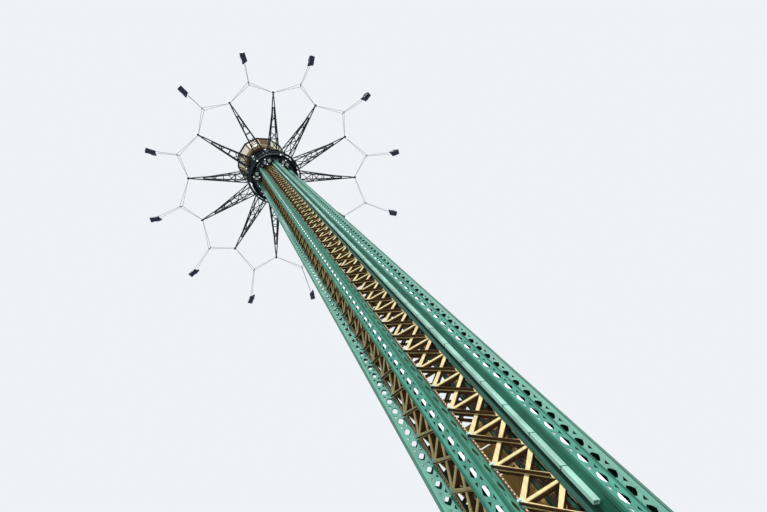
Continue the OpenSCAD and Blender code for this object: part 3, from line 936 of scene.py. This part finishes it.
# %% Slope of the cove
head_step = math.radians(30)
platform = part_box("head_platform")
platform_low, platform_high, platform_side = platform[0].z, platform[1].z, platform[1].x
cove_low, cove_high = 290 * MM, 368.7 * MM
cove_foot, cove_top = platform_low - 396 * MM, platform_low - 1.3 * MM
flare = math.atan2(cove_high - cove_low, cove_top - cove_foot)
cove_len = (cove_top - cove_foot) / math.cos(flare)
print("cove leans out by", round(math.degrees(flare), 2), "degrees over", round(cove_len, 4))


def cove_panel(name, low, high, margin, back, front):
    """A plate on the sloping side of the cove, wider at its top, between two heights up it."""
    panel = block(name, (back, -1, low), (front, 1, high))
    for v in panel.data.vertices:
        v.co.y *= (cove_low + v.co.z * math.sin(flare)) * math.tan(head_step / 2) - margin
    panel.rotation_euler.y = flare
    apply_place(panel)
    return moved(panel, (cove_low, 0, cove_foot))


# %% Frames and panels of the cove
frame_blank = cove_panel("frame", low=30 * MM, high=cove_len - 6 * MM, margin=10 * MM,
                         back=0.2 * MM, front=5 * MM)
edit_faces(frame_blank, lambda centre, normal: normal.x > 0.9)
bpy.ops.mesh.inset(thickness=9 * MM, depth=0)
bpy.ops.mesh.inset(thickness=3 * MM, depth=-3 * MM)
done_editing()
finish_with(around(frame_blank, "cove_frames", 12), ivory, "root")
infill = cove_panel("infill", low=43 * MM, high=cove_len - 19 * MM, margin=23 * MM,
                    back=0.5 * MM, front=3.2 * MM)
apply_modifier(infill, "BEVEL", width=0.8 * MM, segments=1)
# Three panels are brown as painted shade, the others cream.
shade_sides = [copy_of(infill, "infill", math.radians(60 + 120 * i)) for i in range(3)]
pale_sides = [copy_of(infill, "infill", i * head_step) for i in range(12) if i % 4 != 2]
clear_away(infill)
finish_with(joined("cove_panels_painted_shade", shade_sides), brown, "root")
finish_with(joined("cove_panels_cream", pale_sides), drum_cream, "root")


# %% Rim and beads
def sided_ring(name, inner, outer, low, high):
    """A twelve-sided ring with level faces: a cylinder, inset top and bottom, then bridged."""
    bpy.ops.object.select_all(action="DESELECT")
    bpy.ops.mesh.primitive_cylinder_add(vertices=12, radius=outer / math.cos(head_step / 2),
                                        depth=high - low, location=(0, 0, (low + high) / 2),
                                        rotation=(0, 0, head_step / 2))
    ring = bpy.context.object
    ring.name = name
    apply_place(ring)
    edit_faces(ring, lambda centre, normal: abs(normal.z) > 0.9)
    bpy.ops.mesh.inset(thickness=(outer - inner), depth=0)
    bpy.ops.mesh.bridge_edge_loops()
    bpy.ops.mesh.select_all(action="SELECT")
    bpy.ops.mesh.normals_make_consistent(inside=False)
    done_editing()
    return ring


rim = sided_ring("head_rim", platform_side - 28 * MM, platform_side + 2 * MM,
                 platform_low - 45 * MM, platform_high + 6 * MM)
apply_modifier(rim, "BEVEL", width=1 * MM, segments=1, limit_method="ANGLE")
finish_with(rim, dark_steel, "root")
cornice_low, cornice_rise, cornice_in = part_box("head_cove")[0].z, 20 * MM, 12 * MM
for k in range(3):
    side = cove_low + 7 * MM - cornice_in * k
    low = cornice_low + (2 - k) * cornice_rise
    bead = sided_ring(f"cornice_bead_{k + 1}", side - 3 * MM, side + 2 * MM,
                      low - 2 * MM, low + 5 * MM)
    apply_modifier(bead, "BEVEL", width=1 * MM, segments=2, limit_method="ANGLE")
    finish_with(bead, ivory, "root")

# %% [markdown]
# ## Double seats
# Each seat is a moulded shell, wide enough for two. It starts as a box without its top and front,
# is shaped by moving its vertices, given a wall by Solidify and smoothed by a subdivision surface.
# One seat is modelled upright at the origin and copied to each swing with its hinge's turn.

# %% Shell of one seat
seat_w, seat_d, seat_h = 120 * MM, 58 * MM, 78 * MM
skin, arm_z = 2 * MM, 30 * MM
shell = block("seat_shell", (-seat_w / 2 + skin, -seat_d / 2 + skin, skin),
              (seat_w / 2 - skin, seat_d / 2 - skin, seat_h - skin))
edit_faces(shell, lambda centre, normal: normal.z > 0.9 or normal.y > 0.9)
bpy.ops.mesh.delete(type="FACE")
bpy.ops.mesh.select_all(action="SELECT")
bpy.ops.mesh.subdivide(number_cuts=3)
done_editing()
for v in shell.data.vertices:
    ahead_share = (v.co.y + seat_d / 2) / seat_d
    two_places = math.cos(v.co.x / seat_w * math.tau)
    if abs(v.co.x) > seat_w / 2 - 2 * skin and v.co.z > arm_z:
        v.co.z -= (v.co.z - arm_z) * min(1.0, ahead_share * 1.25)
    if v.co.y < -seat_d / 2 + 2 * skin:
        v.co.y += 5 * MM * two_places - 3 * MM * (v.co.z / seat_h)
    if v.co.z < 2 * skin:
        v.co.z += 3 * MM * abs(two_places) * (1 - ahead_share)
apply_modifier(shell, "SOLIDIFY", thickness=3.5 * MM, offset=0)
apply_modifier(shell, "SUBSURF", levels=2, render_levels=2)
only(shell)
bpy.ops.object.shade_smooth_by_angle(angle=math.radians(40))
print("seat shell", len(shell.data.polygons), "faces")

# %% Tubes of one seat
rail_side, arm_side = seat_w / 2 - 5 * MM, seat_w / 2 - 2 * MM
back_y, front_y, bar_z = -seat_d / 2 + 5 * MM, seat_d / 2 - 3 * MM, 31 * MM
top_rail_z, rail_r, arm_r, post_r = seat_h - 2.2 * MM, 1.8 * MM, 2 * MM, 1.6 * MM
seat_tubes = [rod("rail", (s * rail_side, back_y, 3 * MM), (s * rail_side, back_y, seat_h - 1 * MM),
                  rail_r) for s in (-1, 1)]
seat_tubes += [rod("arm", (s * arm_side, back_y, 34 * MM), (s * arm_side, front_y, bar_z), arm_r)
               for s in (-1, 1)]
seat_tubes += [rod("bar", (-arm_side, front_y, bar_z), (arm_side, front_y, bar_z), arm_r),
               rod("post", (0, front_y, bar_z), (0, front_y - 2 * MM, 5 * MM), post_r),
               rod("rail", (-rail_side, back_y, top_rail_z), (rail_side, back_y, top_rail_z),
                   rail_r)]
seat_frame = joined("seat_frame", seat_tubes)
print("seat frame", len(seat_frame.data.polygons), "faces")

# %% A seat on each swing
seat_drop = 799 * MM
fly = math.radians(35)
for number, joint in enumerate(swing_joints, start=1):
    theta = math.atan2(joint["pos_m"][1], joint["pos_m"][0])
    hinge = Matrix.Translation(joint["pos_m"]) @ Matrix.Rotation(theta, 4, "Z")
    hung = hinge @ Matrix.Rotation(-fly, 4, "Y") @ Matrix.Translation((0, 0, -seat_drop))
    body = joint["child"]
    for model, name, material, slot in ((shell, "seat_shell", navy, "seat_shell"),
                                        (seat_frame, "seat_frame", pale_grey, "steel_rope")):
        twin = copy_of(model, f"{name}_{number}")
        twin.matrix_world = hung
        apply_place(twin)
        finish_with(twin, material, body)
        if model is shell:
            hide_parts(f"seat_{number}")
clear_away(shell, seat_frame)

# %% [markdown]
# ## Floor, sun and air
# The floor is plain and pale. One sun lights the tower from the side that is bright in the
# photograph, and the air fills the shade with a faint blue. Light Path shows the camera a paler sky
# than the one that lights the steel, because more light on the steel would wash its colours out.

# %% Floor
bpy.ops.object.select_all(action="DESELECT")
bpy.ops.mesh.primitive_plane_add(size=60, location=(0, 0, 0))
floor = bpy.context.object
floor.name = "studio_floor"
floor_paint = bpy.data.materials.new("studio_floor")
floor_paint.use_nodes = True
floor_shader = floor_paint.node_tree.nodes["Principled BSDF"]
floor_shader.inputs["Base Color"].default_value = (0.72, 0.72, 0.71, 1)
floor_shader.inputs["Roughness"].default_value = 0.9
floor.data.materials.append(floor_paint)
print("floor", tuple(floor.dimensions))

# %% Sun
sun_strength, sun_width, sun_way = 3.3, math.radians(4), Vector((-0.18, 0.68, -0.62))
sun = bpy.data.lights.new("key", "SUN")
sun.energy = sun_strength
sun.angle = sun_width
key = bpy.data.objects.new("key", sun)
bpy.context.scene.collection.objects.link(key)
key.rotation_euler = sun_way.to_track_quat("-Z", "Y").to_euler()
print("sun of", sun.energy)

# %% Air
world = bpy.data.worlds.new("air")
bpy.context.scene.world = world
world.use_nodes = True
nodes, links = world.node_tree.nodes, world.node_tree.links
seen, lit = nodes.new("ShaderNodeBackground"), nodes["Background"]
for sky, colour, strength in ((seen, (0.86, 0.89, 0.93, 1), 1.0),
                              (lit, (0.80, 0.87, 1.0, 1), 0.38)):
    sky.inputs["Color"].default_value = colour
    sky.inputs["Strength"].default_value = strength
path = nodes.new("ShaderNodeLightPath")
either = nodes.new("ShaderNodeMixShader")
links.new(path.outputs["Is Camera Ray"], either.inputs["Fac"])
links.new(lit.outputs["Background"], either.inputs[1])
links.new(seen.outputs["Background"], either.inputs[2])
links.new(either.outputs["Shader"], nodes["World Output"].inputs["Surface"])
bpy.context.scene.view_settings.view_transform = "Standard"
print("air shown at", seen.inputs["Strength"].default_value)

# %% [markdown]

# %% End of the script
import json
